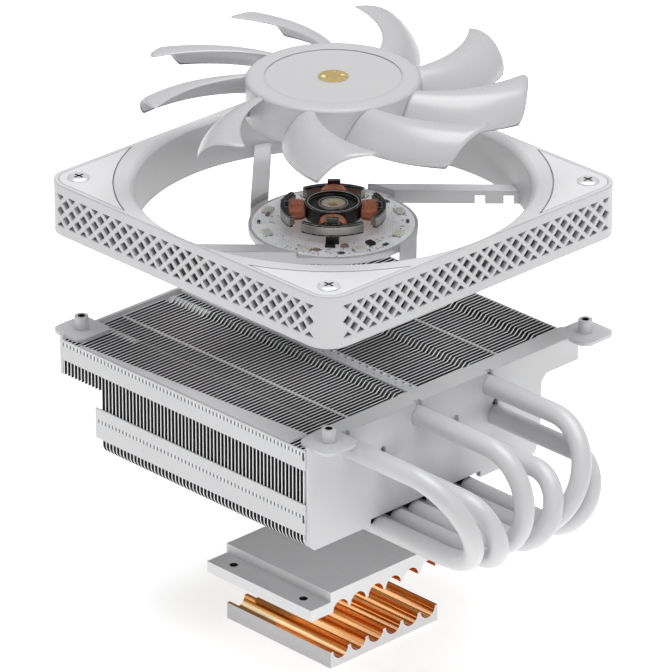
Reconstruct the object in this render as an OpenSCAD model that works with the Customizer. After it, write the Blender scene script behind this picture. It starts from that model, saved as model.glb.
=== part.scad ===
// Low-profile down-draught processor cooler, drawn lifted apart along its own axis.
// Z is up, the contact face of the base plate is at z = 0 and centred on x = y = 0.

/* [Base and cap] */
// Length of the base plate along the pipes
base_x = 44.4; // [38:0.2:54]
// Thickness of the base plate under and beside the grooves
base_t = 5.3; // [4.6:0.1:8]
// Metal left outside the two outer grooves
base_margin = 1.1; // [0.8:0.1:4]
// Width of each screw wing of the cap
wing_w = 8.0; // [6.5:0.1:12]
// Thickness of the screw wings
wing_t = 3.6; // [2.5:0.1:6]
// Height of the raised middle of the cap above its wings
cap_rise = 3.1; // [1.5:0.1:5]
// Diameter of the four threaded holes in the wings
wing_hole_d = 2.6; // [2:0.1:4]
// Distance between the two holes of a wing
wing_hole_pitch = 29.7; // [20:0.1:36]

/* [Heat pipes] */
// Outer diameter of a heat pipe
pipe_d = 6.0; // [4.5:0.1:7]
// Spacing of the pipes where they lie in the base
pipe_pitch = 7.2; // [7.1:0.05:9]
// Height of the lower row of pipes above their run in the base
row_low = 20.2; // [16:0.1:26]
// Height between the two rows of pipes in the fins
row_step = 10.4; // [7.5:0.1:13]
// Distance from the front end plate to the middle of the pipe at its furthest point
bend_reach = 43; // [38:0.5:60]
// Gap around a pipe in a groove, a fin or an end plate
pipe_gap = 0.03; // [0.01:0.01:0.09]
// Height of the narrow relief slot above each pipe hole
relief_h = 2.4; // [0.5:0.1:2.6]
// Width of the relief slot
relief_w = 2.2; // [1:0.1:3]

/* [Fin stack] */
// Length of the fin stack along the pipes
stack_x = 103.6; // [84:0.1:126]
// Length of a fin across the pipes
stack_y = 110; // [102:0.5:132]
// Full height of a fin
stack_h = 32; // [26.5:0.1:38.5]
// Distance between fins
fin_pitch = 1.5; // [1.2:0.05:2.5]
// Thickness of a fin
fin_t = 0.4; // [0.25:0.05:0.6]
// Sideways step of a fin at each of its three bends
jog_step = 2.2; // [0.5:0.1:3]
// Length of a fin over which a bend steps aside
jog_len = 4; // [2.5:0.1:6]
// How much shorter the low part of the stack is at the rear
low_inset = 16; // [8:0.5:24]
// Height of the short rear fins
short_h = 11.5; // [9:0.1:16]
// How far the thin shelf of the fins reaches past their deep part
shelf_y = 15.5; // [8:0.5:20]
// Height of that shelf
shelf_h = 6.2; // [5:0.1:9]
// Height of the upper closed band along the fin ends
band_up = 6.4; // [3:0.1:8]
// Height of the lower closed band
band_low = 9.8; // [5:0.1:11]
// Open height between the two bands
band_open = 10.8; // [8:0.1:12]
// Radius of the lower front corner of a fin
fin_corner_r = 4; // [2:0.1:4.6]
// Thickness of the folded strips that close the bands
strip_t = 0.4; // [0.3:0.05:0.8]
// Thickness of the end plates, their flanges and their tabs
plate_t = 1.2; // [0.8:0.1:2]
// Width of the end plate flange that folds over the fins
flange_w = 7; // [4:0.5:10]
// Length of the square tab under each fan post
tab_w = 13; // [11:0.5:16]
// Height of a fan post above its tab
post_h = 4; // [2.5:0.1:5]
// Outer diameter of a fan post
post_d = 4.2; // [3.6:0.1:6]

/* [Fan] */
// Outside width of the square fan frame
fan_w = 120; // [116:0.5:144]
// Height of the fan frame
fan_h = 16; // [14.5:0.1:19]
// Distance between the fan screws along a side
screw_pitch = 105; // [96:0.5:110]
// Diameter of the air opening
bore_d = 116; // [98:0.5:117]
// Thickness of the outer skin of the frame
skin_t = 1.4; // [1:0.1:2]
// Thickness of the round inner wall of the frame
ring_t = 1.4; // [1:0.1:2]
// Radius of the outer corners of the frame
frame_r = 8; // [5:0.5:10]
// Distance between the diamonds of a grille row
diamond_pitch = 4.98; // [4:0.02:6]
// Metal left between two diamonds
diamond_bar = 1.3; // [0.8:0.1:1.8]
// Thickness of the corner covers
cover_t = 1.3; // [1:0.1:2]
// Width of a motor strut
strut_w = 5; // [3:0.1:7]
// Height of a motor strut
strut_h = 4; // [2.5:0.1:4]
// Diameter of the head of a fan screw
screw_head_d = 6.6; // [5:0.1:7.5]

/* [Motor] */
// Diameter of the circuit board
board_d = 48; // [42:0.5:58]
// Thickness of the circuit board
board_t = 1.0; // [0.8:0.1:1.6]
// Number of lamps on the board
lamp_count = 8; // [4:1:12]
// Diameter of the stator
stator_d = 31; // [26:0.5:36]
// Height of the laminated stator core
core_h = 2.2; // [1.8:0.1:3.4]
// Diameter of the shaft
shaft_d = 3.0; // [2:0.1:4]
// Running gap between shaft and bearing
shaft_gap = 0.03; // [0.01:0.01:0.09]
// Air gap between stator and magnet
air_gap = 0.45; // [0.3:0.05:0.8]

/* [Rotor] */
// Diameter of the rotor hub
hub_d = 51; // [46:0.5:60]
// Height of the rotor hub
hub_h = 12.2; // [11:0.1:13]
// Thickness of the hub wall
hub_wall = 1.5; // [1:0.1:2]
// Number of blades
blade_count = 9; // [5:1:11]
// Gap between the blade tips and the air opening
tip_gap = 1.5; // [1:0.1:3]
// Thickness of a blade in its middle
blade_t = 1.3; // [0.9:0.1:1.8]
// Height of a blade from its upper to its lower edge
blade_h = 10.4; // [7:0.1:10.6]

/* [Lifts] */
// Height of the cap above its seat on the base plate
cap_lift = 13.1; // [4:0.1:30]
// Height of the pipes above their grooves in the base plate
stack_lift = 46.4; // [30:0.1:80]
// Height of the fan frame above its seat on the tabs
fan_lift = 32.3; // [10:0.1:60]
// Height of the rotor above its running place
rotor_lift = 33.3; // [10:0.1:60]

/* [Hidden] */
$fn = 72;
e = 0.01;

// Plan position of the fan axis: the stack sits off-centre over the base.
fan_x = -13;
fan_y = 13;

pipe_r = pipe_d / 2;
groove_r = pipe_r + pipe_gap;
row_w = 5 * pipe_pitch + pipe_d;
base_y = row_w + 2 * base_margin;

// Stack heights, measured from the axis of the pipes in the base.
run_z = base_t + stack_lift;
row_high = row_low + row_step;
top_gap = 0.2;
fin_top = row_high + pipe_r + top_gap;
fin_bot = fin_top - stack_h;
stack_x1 = stack_x / 2 - 0.8;
stack_x0 = stack_x1 - stack_x;
stack_y0 = -stack_y / 2 - 5;
stack_y1 = stack_y0 + stack_y;
deep_y1 = stack_y1 - shelf_y;
plate_x = stack_x1 + plate_t;
bend_x = plate_x + bend_reach;
post_z = fin_top + plate_t;
// Where the fins bend, and the lines of folded lips on top of them.
jog_y = [-19.5, 10.2, 37.5];
lip_y = [-36.7, 24];
band_y = -10.7;
band_w = 4.4;

// Pipe places across the fins in the stack, first to last, and which row each is in.
pipe_y = [-45, -30.5, -16, -1, 13, 15.2];
pipe_up = [true, false, true, false, true, false];
function pipe_z(i) = pipe_up[i] ? row_high : row_low;
function run_y(i) = (i - 2.5) * pipe_pitch - fan_y;

// Cap heights.
cap_z = base_t + cap_lift;
cap_h = wing_t + cap_rise;
cap_y = base_y + 2 * wing_w;
wing_hole_y = base_y / 2 + wing_w / 2;

// Fan heights.
seat_z = run_z + post_z;
frame_z = seat_z + fan_lift;
frame_top = frame_z + fan_h;
bore_r = bore_d / 2;
ring_r = bore_r + ring_t;
flare = 3.2;
cover_r = fan_w / 2 + 4;
board_gap = 0.1;
cup_wall = 0.8;
cup_r = board_d / 2 + board_gap + cup_wall;
floor_t = 1.2;
board_z = frame_z + floor_t;
board_top = board_z + board_t;
boss_r = 4.2;

// Motor heights.
bobbin_t = 0.6;
core_z = board_top + 3.1;
stator_r = stator_d / 2;
tube_r = 4.2;
tube_wall = 0.65;
tube_top = board_top + 6.4;
arm_w = 3.6;

// Rotor heights, measured from where the rotor runs.
hub_top = frame_top - 0.4;
hub_r = hub_d / 2;
hub_low = hub_top - hub_h;
disc_t = 1.8;
magnet_t = 2;
yoke_t = 0.8;
magnet_r = stator_r + air_gap;
yoke_r = magnet_r + magnet_t + 0.02;
blade_r = bore_r - tip_gap;
washer_z = tube_top + 0.5;
boss_z = washer_z + 0.5;
shaft_z = board_top + 0.6;

module at_fan(z = 0) { translate([fan_x, fan_y, z]) children(); }

module x_rod(r, x0, x1, y, z) { translate([x0, y, z]) rotate([0, 90, 0]) cylinder(r = r, h = x1 - x0); }

module corners(d) { for (sx = [-1, 1], sy = [-1, 1]) translate([sx * d / 2, sy * d / 2, 0]) children(); }

// Upright rounded square.
module rounded_block(w, h, r) {
    cube_w = w - 2 * r;
    union() {
        translate([-w / 2, -cube_w / 2, 0]) cube([w, cube_w, h]);
        translate([-cube_w / 2, -w / 2, 0]) cube([cube_w, w, h]);
        corners(cube_w) cylinder(r = r, h = h);
    }
}

module grooves(z) {
    for (i = [0:5]) x_rod(groove_r, -base_x, base_x, (i - 2.5) * pipe_pitch, z);
}

module base_plate() {
    color("silver") difference() {
        translate([-base_x / 2, -base_y / 2, 0]) cube([base_x, base_y, base_t]);
        grooves(base_t);
    }
}

module cap_plate() {
    color("silver") difference() {
        union() {
            translate([-base_x / 2, -cap_y / 2, cap_z]) cube([base_x, cap_y, wing_t]);
            translate([-base_x / 2, -base_y / 2, cap_z]) cube([base_x, base_y, cap_h]);
        }
        grooves(cap_z);
        for (sx = [-1, 1], sy = [-1, 1])
            translate([sx * wing_hole_pitch / 2, sy * wing_hole_y, cap_z - 1])
                cylinder(d = wing_hole_d, h = wing_t + 2);
    }
}

// One heat pipe: a run in the fins, a half turn and a run over the base.
module heat_pipe(i) {
    dy = pipe_y[i] - run_y(i);
    dz = pipe_z(i);
    span = sqrt(dy * dy + dz * dz);
    cx = bend_x - span / 2;
    x0 = pipe_up[i] ? stack_x0 - plate_t - 1.5 : stack_x0 + low_inset - 1;
    x1 = -fan_x - base_x / 2;
    color("whitesmoke") at_fan(run_z) translate([0, run_y(i), 0])
        rotate([-atan2(dy, dz), 0, 0]) union() {
            x_rod(pipe_r, x1, cx + 0.05, 0, 0);
            x_rod(pipe_r, x0, cx + 0.05, 0, span);
            translate([cx, 0, span / 2]) rotate([90, 0, 0]) rotate([0, 0, -90])
                rotate_extrude(angle = 180) translate([span / 2, 0]) circle(r = pipe_r - 0.02);
        }
}
module heat_pipe_1() { heat_pipe(0); }
module heat_pipe_2() { heat_pipe(1); }
module heat_pipe_3() { heat_pipe(2); }
module heat_pipe_4() { heat_pipe(3); }
module heat_pipe_5() { heat_pipe(4); }
module heat_pipe_6() { heat_pipe(5); }

// Plan of one fin that starts at x and is cut off where it would leave the stack.
function shift(k) = -k * jog_step;
function enter(x) = len([for (k = [0:3]) if (x + shift(k) + fin_t > stack_x1) 1]);
function leave(x) = len([for (k = [0:3]) if (x + shift(k) >= stack_x0) 1]);
function edge(x, k0, k1, y0, y1) = concat([[x + shift(k0), y0]],
    [for (k = [k0:1:k1 - 1], s = [0, 1]) [x + shift(k + s), jog_y[k] + s * jog_len]],
    [[x + shift(k1), y1]]);
module fin_plan(x) {
    k0 = enter(x);
    k1 = leave(x) - 1;
    if (k0 <= min(k1, 3)) {
        y0 = k0 == 0 ? stack_y0 : jog_y[k0 - 1] + jog_len;
        y1 = k1 == 3 ? stack_y1 : jog_y[k1];
        left = edge(x, k0, k1, y0, y1);
        right = edge(x + fin_t, k0, k1, y0, y1);
        if (y1 - y0 > 1) polygon(concat(right, [for (j = [len(left) - 1:-1:0]) left[j]]));
    }
}

// Holes for the pipes with a relief slot above each.
module pipe_holes(x0, x1) {
    for (i = [0:5]) x_rod(groove_r, x0, x1, pipe_y[i], pipe_z(i));
}
module relief_slots(x0, x1) {
    for (i = [0:5]) translate([x0, pipe_y[i] - relief_w / 2, pipe_z(i)])
        union() {
            cube([x1 - x0, relief_w, pipe_r + relief_h - relief_w / 2]);
            x_rod(relief_w / 2, 0, x1 - x0, relief_w / 2, pipe_r + relief_h - relief_w / 2);
        }
}

// Space under the stack for the cap and the pipes that leave it.
module cap_space() {
    gap = 0.3;
    x0 = -fan_x - base_x / 2 - gap;
    translate([x0, -fan_y - base_y / 2 - gap, fin_bot - 5])
        cube([stack_x, base_y + 2 * gap, 5 - fin_bot + cap_h + gap]);
    translate([x0, -fan_y - cap_y / 2 - gap, fin_bot - 5])
        cube([base_x + 2 * gap, cap_y + 2 * gap, 5 - fin_bot + wing_t + gap]);
}

module fins() {
    n = ceil((stack_x + 3 * jog_step) / fin_pitch);
    color("gainsboro") at_fan(run_z) difference() {
        for (i = [0:n]) translate([0, 0, fin_bot]) linear_extrude(height = stack_h)
            fin_plan(stack_x0 + 0.3 + i * fin_pitch);
        translate([stack_x0 - 5, stack_y0 - 5, fin_bot - 5])
            cube([low_inset + 5, stack_y + 10, stack_h - short_h + 5]);
        translate([stack_x0 - 5, deep_y1, fin_bot - 5])
            cube([stack_x + 10, shelf_y + 5, stack_h - shelf_h + 5]);
        translate([stack_x0 - 5, stack_y0, fin_bot]) rotate([90, 0, 90]) linear_extrude(height = stack_x + 10)
            difference() {
                translate([-1, -1]) square(fin_corner_r + 1);
                translate([fin_corner_r, fin_corner_r]) circle(r = fin_corner_r + 0.12);
            }
        cap_space();
        pipe_holes(stack_x0 - 5, stack_x1 + 5);
    }
}

// Folded lips of the fins, joined into closed bands along both fin ends.
module edge_strips() {
    x0 = stack_x0 + 0.2;
    xl = stack_x0 + low_inset - 1.6;
    z1 = fin_top - band_up - band_open - band_low;
    color("whitesmoke") at_fan(run_z) {
        translate([x0, stack_y0 - strip_t, fin_top - band_up]) cube([stack_x1 - x0, strip_t, band_up]);
        translate([xl, stack_y0 - strip_t, z1]) cube([stack_x1 - xl, strip_t, band_low]);
        translate([x0, stack_y1, fin_top - shelf_h]) cube([stack_x1 - x0, strip_t, shelf_h]);
        translate([xl, deep_y1, z1]) cube([stack_x1 - xl, strip_t, band_low]);
    }
}

// Folded lips on top: a dimpled band, two thin lines and the widening front edge.
module top_strips() {
    x0 = stack_x0 + 0.3;
    x1 = stack_x1 - flange_w + plate_t - 0.2;
    lip = 0.3;
    color("whitesmoke") at_fan(run_z + fin_top) {
        difference() {
            translate([x0, band_y - band_w / 2, 0]) cube([x1 - x0, band_w, 2 * lip]);
            for (i = [1:1:floor((x1 - x0) / (2 * fin_pitch)) - 1], s = [-1, 1])
                translate([x0 + (2 * i + (s + 1) / 2) * fin_pitch, band_y + s * band_w / 5, lip])
                    cylinder(d = 0.9, h = 1, $fn = 6);
        }
        for (y = lip_y) translate([x0, y - 0.4, 0]) cube([x1 - x0, 0.8, lip]);
        linear_extrude(height = lip) polygon([[-screw_pitch / 2 + tab_w / 2 + 1, stack_y0],
            [stack_x1 - flange_w - 0.2, stack_y0], [stack_x1 - flange_w - 0.2, stack_y0 + 7.4],
            [-screw_pitch / 2 + tab_w / 2 + 1, stack_y0 + 0.8]]);
    }
}

// Rounded tab under a fan post, reaching past the corner of the stack.
module tab(sx, sy) {
    r = 3;
    a = tab_w / 2;
    translate([sx * screw_pitch / 2, sy * screw_pitch / 2, fin_top]) translate([0, 0, 0])
        union() {
            translate([-a, -a + r, 0]) cube([tab_w, tab_w - 2 * r, plate_t]);
            translate([-a + r, -a, 0]) cube([tab_w - 2 * r, tab_w, plate_t]);
            corners(tab_w - 2 * r) cylinder(r = r, h = plate_t);
        }
}

// Flange of an end plate with its bend, x0 is the outer face and s its side.
module flange(x, s) {
    w = flange_w;
    y0 = -screw_pitch / 2;
    y1 = min(screw_pitch / 2, stack_y1);
    translate([s > 0 ? x - w : x, y0, fin_top]) cube([w, y1 - y0, plate_t]);
}

module front_end_plate() {
    z0 = fin_bot;
    zs = fin_top - shelf_h - 1;
    c = 2.2;
    color("whitesmoke") at_fan(run_z) difference() {
        union() {
            translate([stack_x1, 0, 0]) rotate([90, 0, 90]) linear_extrude(height = plate_t)
                polygon([[stack_y0, z0 + c], [stack_y0 + c, z0], [deep_y1 - c, z0],
                    [deep_y1, z0 + c * 3], [deep_y1, zs - c], [deep_y1 + c, zs],
                    [stack_y1, zs], [stack_y1, fin_top + plate_t], [stack_y0, fin_top + plate_t]]);
            flange(plate_x, 1);
            tab(1, -1);
            tab(1, 1);
        }
        pipe_holes(stack_x1 - 1, plate_x + 1);
        relief_slots(stack_x1 - 0.2, plate_x + 0.2);
        translate([stack_x1 - 1, -fan_y - base_y / 2 - 0.3, z0 - 5])
            cube([plate_t + 2, base_y + 0.6, 5 - z0 + pipe_r + 0.8]);
        corners(screw_pitch) translate([0, 0, fin_top - 1]) cylinder(d = post_d - 2, h = plate_t + 2);
    }
}

module rear_end_plate() {
    color("whitesmoke") at_fan(run_z) difference() {
        union() {
            translate([stack_x0 - plate_t, stack_y0, fin_top - short_h])
                cube([plate_t, stack_y, short_h + plate_t]);
            tab(-1, -1);
            tab(-1, 1);
        }
        translate([stack_x0 - plate_t - 1, deep_y1, fin_top - short_h - 1])
            cube([plate_t + 1, shelf_y + 1, short_h - shelf_h]);
        for (i = [0:2:4]) x_rod(groove_r, stack_x0 - plate_t - 1, stack_x0 + 1, pipe_y[i], pipe_z(i));
        corners(screw_pitch) translate([0, 0, fin_top - 1]) cylinder(d = post_d - 2, h = plate_t + 2);
    }
}

module fan_posts() {
    color("white") at_fan(run_z + post_z) corners(screw_pitch) difference() {
        cylinder(d = post_d, h = post_h);
        translate([0, 0, -1]) cylinder(d = post_d - 2, h = post_h + 2);
    }
}

// Diamond holes of one side wall: three full rows and a row of half diamonds at each edge.
module diamonds() {
    n = floor((fan_w - 10) / diamond_pitch);
    half = (diamond_pitch - diamond_bar * sqrt(2)) / 2;
    d = diamond_pitch / 2;
    for (row = [-1:1]) {
        m = n - abs(row % 2 == 0 ? 0 : 1);
        for (i = [0:m - 1]) translate([(i - (m - 1) / 2) * diamond_pitch, -fan_w / 2 - 1, row * d])
            rotate([-90, 0, 0]) cylinder(r = half, h = skin_t + 2, $fn = 4);
    }
    for (s = [-1, 1], i = [0:n - 1])
        translate([(i - (n - 1) / 2) * diamond_pitch, -fan_w / 2 - 1, s * 2 * d])
            rotate([90, 0, 0]) mirror([0, 0, 1]) linear_extrude(height = skin_t + 2)
                polygon([[-half, -s * 0.001], [half, -s * 0.001], [0, -s * half]]);
}

module corner_region(r, h, inset) {
    difference() {
        rounded_block(fan_w - 2 * inset, h, frame_r - inset);
        translate([0, 0, -1]) cylinder(r = r, h = h + 2);
    }
}

module frame_shell() {
    difference() {
        rounded_block(fan_w, fan_h, frame_r);
        translate([0, 0, -1]) rounded_block(fan_w - 2 * skin_t, fan_h + 2, frame_r - skin_t);
        for (a = [0:90:270]) rotate([0, 0, a]) translate([0, 0, fan_h / 2]) diamonds();
    }
}

module strut(a) {
    rotate([0, 0, a]) intersection() {
        translate([0, cup_r - strut_w - 0.4, 0]) cube([fan_w, strut_w, strut_h]);
        cylinder(r = bore_r + 0.7, h = fan_h);
    }
}

module fan_frame() {
    color("whitesmoke") at_fan(frame_z) difference() {
        union() {
            frame_shell();
            corner_region(bore_r, floor_t, 0.5);
            difference() {
                cylinder(r = ring_r, h = fan_h);
                translate([0, 0, -1]) cylinder(r = bore_r, h = fan_h + 2);
            }
            translate([0, 0, fan_h - cover_t - 1.4]) intersection() {
                difference() {
                    cylinder(r = cover_r + 1.2, h = cover_t + 1.4);
                    translate([0, 0, -1]) cylinder(r = bore_r, h = cover_t + 4);
                }
                rounded_block(fan_w - 1, cover_t + 1.4, frame_r);
            }
            corners(screw_pitch) cylinder(r = boss_r, h = fan_h - cover_t);
            difference() {
                union() {
                    cylinder(r = cup_r, h = floor_t + board_t);
                    for (a = [45:90:315]) strut(a);
                }
                translate([0, 0, floor_t]) cylinder(r = board_d / 2 + board_gap, h = fan_h);
                translate([0, 0, floor_t + board_t]) cylinder(r = hub_r + 0.9, h = fan_h);
            }
            cylinder(r = tube_r, h = tube_top - frame_z);
        }
        // Bearing bore, cover seats, bell mouth, screw and post holes, cable notches.
        translate([0, 0, floor_t]) cylinder(r = tube_r - tube_wall, h = fan_h);
        translate([0, 0, fan_h - cover_t]) corner_region(cover_r, cover_t + 1, skin_t);
        translate([0, 0, fan_h - flare]) rotate_extrude() difference() {
            translate([bore_r - 1, 0]) square([flare + 1, flare + 1]);
            translate([bore_r + flare, 0]) circle(r = flare + 0.3);
        }
        corners(screw_pitch) {
            translate([0, 0, -1]) cylinder(d = post_d + 0.1, h = post_h + 1.4);
            translate([0, 0, fan_h - cover_t - 7]) cylinder(d = 3, h = 10);
        }
        rotate([0, 0, 45]) for (x = [41.5, 50])
            translate([x, cup_r - strut_w - 1, -1]) cube([3, strut_w + 2, strut_h - 0.4]);
    }
}

module corner_covers() {
    gap = 0.12;
    color("white") at_fan(frame_top - cover_t) difference() {
        corner_region(cover_r + gap + 0.25, cover_t, skin_t + gap);
        corners(screw_pitch) translate([0, 0, -1]) cylinder(d = 3.1, h = cover_t + 2);
    }
}

module fan_screws() {
    color("lightgrey") at_fan(frame_top) corners(screw_pitch) difference() {
        union() {
            cylinder(d = screw_head_d, h = 0.35);
            translate([0, 0, 0.35]) cylinder(d1 = screw_head_d, d2 = screw_head_d - 1.6, h = 0.45);
            translate([0, 0, -cover_t - 6]) cylinder(d = 2.9, h = cover_t + 6);
        }
        for (a = [0, 90]) rotate([0, 0, a]) translate([-1.7, -0.35, 0.1]) cube([3.4, 0.7, 2]);
    }
}

module motor_board() {
    color("white") at_fan(board_z) difference() {
        cylinder(d = board_d, h = board_t);
        translate([0, 0, -1]) cylinder(r = tube_r + 0.2, h = board_t + 2);
    }
}

// A small part lying on the board at radius r, turned to angle a.
module on_board(r, a, size) {
    rotate([0, 0, a]) translate([r - size[0] / 2, -size[1] / 2, 0]) cube(size);
}

module lamps() {
    color("lightyellow") at_fan(board_top)
        for (i = [0:lamp_count - 1]) on_board(board_d / 2 - 3.1, 22.5 + i * 360 / lamp_count, [2.8, 3.4, 0.9]);
}

module drive_chip() { color("black") at_fan(board_top) on_board(board_d / 2 - 5.6, -8, [2.6, 2.0, 0.8]); }

module hall_sensor() { color("black") at_fan(board_top) on_board(board_d / 2 - 7.0, -47, [1.4, 3.0, 0.7]); }

module capacitors() {
    color("tan") at_fan(board_top) {
        on_board(board_d / 2 - 6.6, -33, [1.2, 2.0, 0.8]);
        for (a = [-58, 138, 210]) on_board(board_d / 2 - 4.0, a, [1.0, 1.8, 0.6]);
    }
}

module resistors() {
    color("dimgrey") at_fan(board_top) for (a = [-38, 0, 48, 90, 178, 225])
        on_board(board_d / 2 - 2.2, a, [0.9, 1.6, 0.5]);
}

// Cross of four stator arms with curved shoes.
module stator_cross(h, grow, shoe_t) {
    intersection() {
        cylinder(r = stator_r, h = h);
        union() {
            cylinder(r = tube_r + 2.2 + grow, h = h);
            for (a = [45:90:315]) rotate([0, 0, a]) {
                translate([0, -arm_w / 2 - grow, 0]) cube([stator_r - 1, arm_w + 2 * grow, h]);
                difference() {
                    rotate([0, 0, -36]) rotate_extrude(angle = 72) translate([stator_r - shoe_t, 0])
                        square([shoe_t + 1, h]);
                }
            }
        }
    }
}

module stator_core() {
    color("dimgrey") at_fan(core_z) difference() {
        stator_cross(core_h, 0, 1.8);
        translate([0, 0, -1]) cylinder(r = tube_r + 0.05, h = core_h + 2);
    }
}

module stator_bobbin() {
    cup_top = tube_top + 0.6 - core_z;
    cup_out = tube_r + 4.1;
    foot_h = core_z - bobbin_t - board_top;
    color("black") at_fan(core_z) difference() {
        union() {
            translate([0, 0, core_h]) stator_cross(bobbin_t, 0.4, 1.2);
            translate([0, 0, -bobbin_t]) stator_cross(bobbin_t, 0.4, 1.2);
            for (a = [45:90:315]) rotate([0, 0, a]) translate([stator_r - 2.4, -1.9, core_h])
                cube([1.1, 3.8, bobbin_t + 1.9]);
            rotate([0, 0, -45]) translate([stator_r - 1.6, -2, -bobbin_t - foot_h + 0.02])
                cube([1.4, 4, foot_h + 0.3]);
            translate([0, 0, -bobbin_t]) cylinder(r = cup_out, h = cup_top + bobbin_t);
        }
        translate([0, 0, core_h + bobbin_t]) cylinder(r = cup_out - 0.7, h = cup_top);
        translate([0, 0, -3]) cylinder(r = tube_r + 0.05, h = core_h + 8);
        difference() {
            stator_cross(core_h, 0, 1.8);
            translate([0, 0, -1]) cylinder(r = tube_r, h = core_h + 2);
        }
    }
}

module coils() {
    r0 = tube_r + 4.15;
    r1 = stator_r - 2.45;
    color("peru") at_fan(core_z + core_h / 2) for (a = [45:90:315]) rotate([0, 0, a]) difference() {
        intersection() {
            x_rod(4.2, r0, r1, 0, 0);
            translate([r0, -5, -2.9]) cube([r1 - r0, 10, 5.8]);
        }
        translate([r0 - 1, -arm_w / 2 - 0.42, -core_h / 2 - bobbin_t - 0.02])
            cube([r1 - r0 + 2, arm_w + 0.84, core_h + 2 * bobbin_t + 0.04]);
    }
}

module bearing_sleeve() {
    color("gold") at_fan(shaft_z - 0.2) difference() {
        cylinder(r = tube_r - tube_wall - 0.02, h = tube_top - shaft_z + 0.2);
        translate([0, 0, -1]) cylinder(r = shaft_d / 2 + shaft_gap, h = fan_h);
        translate([0, 0, tube_top - shaft_z - 0.4]) cylinder(r1 = shaft_d / 2, r2 = shaft_d / 2 + 0.8, h = 0.8);
    }
}

module thrust_pad() {
    color("ivory") at_fan(board_z + 0.01) cylinder(r = tube_r - tube_wall - 0.1, h = shaft_z - board_z - 0.3);
}

module at_rotor(z = 0) { at_fan(z + rotor_lift) children(); }

module shaft_washer() {
    color("white") at_rotor(washer_z) difference() {
        cylinder(r = shaft_d / 2 + 1.4, h = 0.4);
        translate([0, 0, -1]) cylinder(r = shaft_d / 2 + 0.05, h = 3);
    }
}

module rotor_hub() {
    in_r = hub_r - hub_wall;
    rib_r = yoke_r + yoke_t;
    color("white") at_rotor(0) difference() {
        union() {
            difference() {
                translate([0, 0, hub_low]) cylinder(r = hub_r, h = hub_h);
                translate([0, 0, hub_low - 1]) cylinder(r = in_r, h = hub_h - disc_t + 1);
            }
            difference() {
                translate([0, 0, hub_low + 1]) cylinder(r = rib_r + 1.2, h = hub_h - 2);
                translate([0, 0, hub_low]) cylinder(r = rib_r + 0.02, h = hub_h - disc_t);
            }
            translate([0, 0, boss_z]) cylinder(r = 4, h = hub_top - boss_z - 1);
        }
        translate([0, 0, hub_top - 0.3]) cylinder(r = hub_r - 5.5, h = 1);
        translate([0, 0, hub_top - 1.0]) cylinder(d = 8.6, h = 2);
        translate([0, 0, boss_z - 1]) cylinder(r = shaft_d / 2, h = 10);
        translate([0, 0, hub_top - 0.8]) difference() {
            cylinder(r = hub_r + 1, h = 1);
            translate([0, 0, -e]) cylinder(r1 = hub_r + e, r2 = hub_r - 0.8, h = 0.8 + 2 * e);
        }
    }
}

// Blade surface: s runs from root to tip, u from the leading to the trailing edge.
function lead(s) = 22 * s + 3 * s * s;
function width(s) = 21.5 - 3.5 * s;
function camber(s, u) = pow(u, 2.2 + 1.1 * s);
function thick(u) = blade_t * (0.42 + 0.58 * sin(180 * min(1, u * 1.15 + 0.05)));
function blade_pt(s, u, side) =
    let (r = hub_r - 0.02 + (blade_r - hub_r + 0.02) * s, a = lead(s) - u * width(s),
        drop = blade_h - 1.6)
    [r * cos(a), r * sin(a), -0.9 - drop * camber(s, u) + side * thick(u) / 2];
module blade() {
    ns = 9;
    nu = 6;
    tip_s = [0, 0.1, 0.22, 0.34, 0.46, 0.58, 0.7, 0.8, 0.9, 1];
    chord_u = [0, 0.3, 0.52, 0.68, 0.81, 0.91, 1];
    m = nu + 1;
    k = (ns + 1) * m;
    pts = [for (side = [1, -1], i = [0:ns], j = [0:nu]) blade_pt(tip_s[i], chord_u[j], side)];
    top = [for (i = [0:ns - 1], j = [0:nu - 1], t = [0, 1]) let (a = i * m + j)
        t == 0 ? [a, a + 1, a + m] : [a + 1, a + m + 1, a + m]];
    bottom = [for (f = top) [f[2] + k, f[1] + k, f[0] + k]];
    root = [for (j = [0:nu - 1], t = [0, 1]) t == 0 ? [j, j + k, j + 1] : [j + 1, j + k, j + k + 1]];
    tip = [for (j = [0:nu - 1], t = [0, 1]) let (a = ns * m + j)
        t == 0 ? [a, a + 1, a + k] : [a + 1, a + k + 1, a + k]];
    fore = [for (i = [0:ns - 1], t = [0, 1]) let (a = i * m)
        t == 0 ? [a, a + m, a + k] : [a + m, a + m + k, a + k]];
    aft = [for (i = [0:ns - 1], t = [0, 1]) let (a = i * m + nu)
        t == 0 ? [a, a + k, a + m] : [a + m, a + k, a + m + k]];
    polyhedron(points = pts, faces = concat(top, bottom, root, tip, fore, aft));
}

module rotor_blades() {
    color("white") at_rotor(hub_top)
        for (i = [0:blade_count - 1]) rotate([0, 0, 24.3 + i * 360 / blade_count]) blade();
}

module hub_insert() {
    color("gold") at_rotor(hub_top - 1.0) difference() {
        cylinder(d = 8.5, h = 1.1);
        for (a = [0:60:300]) rotate([0, 0, a]) translate([2.9, 0, 0.6]) cylinder(d = 1.5, h = 1);
    }
}

module magnet_ring() {
    color("dimgrey") at_rotor(core_z - 0.2) difference() {
        cylinder(r = magnet_r + magnet_t, h = core_h + 1.4);
        translate([0, 0, -1]) cylinder(r = magnet_r, h = core_h + 4);
    }
}

module rotor_yoke() {
    z0 = core_z - 0.1;
    color("grey") at_rotor(z0) difference() {
        cylinder(r = yoke_r + yoke_t, h = hub_top - disc_t - z0 - 0.02);
        translate([0, 0, -1]) cylinder(r = yoke_r, h = hub_h + 2);
    }
}

module rotor_shaft() { color("silver") at_rotor(shaft_z) cylinder(r = shaft_d / 2 - e, h = hub_top - 1.05 - shaft_z); }

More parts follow.
